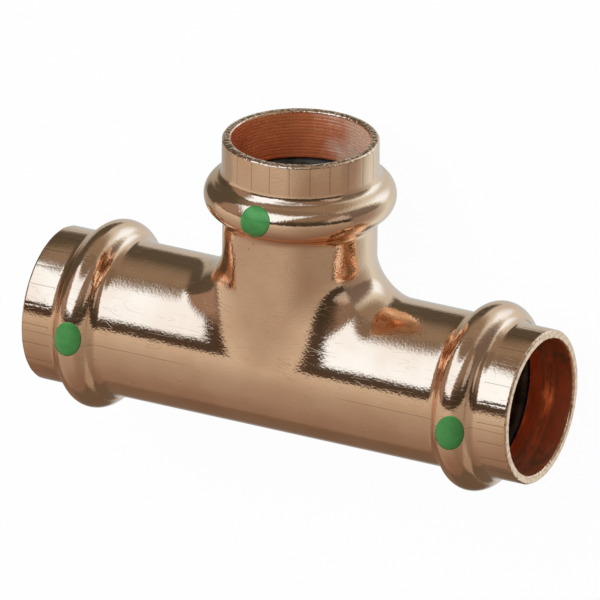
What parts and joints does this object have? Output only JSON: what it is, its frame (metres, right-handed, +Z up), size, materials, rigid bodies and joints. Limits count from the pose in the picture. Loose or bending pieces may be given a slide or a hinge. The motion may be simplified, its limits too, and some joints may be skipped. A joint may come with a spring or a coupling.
{
  "type": "copper press tee",
  "caption": "Formed copper tee with press sockets, rolled beads that hold rubber seal rings, and a green paint dot on each bead. It joins copper tubes of one size.",
  "frame": {"origin": "middle of the footprint, on the surface that the tee lies on", "axes": "+X along the run, +Y along the branch to its mouth, +Z up"},
  "size_m": [0.0886, 0.0534, 0.0311],
  "materials": {
    "copper": "smooth drawn copper with a soft polish, turned inside the mouths",
    "seal_rubber": "smooth black rubber, lightly greased",
    "green_paint": "flat green paint"
  },
  "bodies": {
    "root": {"tee_body": "copper", "run_seal_left": "seal_rubber", "run_seal_right": "seal_rubber", "branch_seal": "seal_rubber", "mark_left": "green_paint", "mark_right": "green_paint", "mark_branch": "green_paint"}
  },
  "joints": []
}
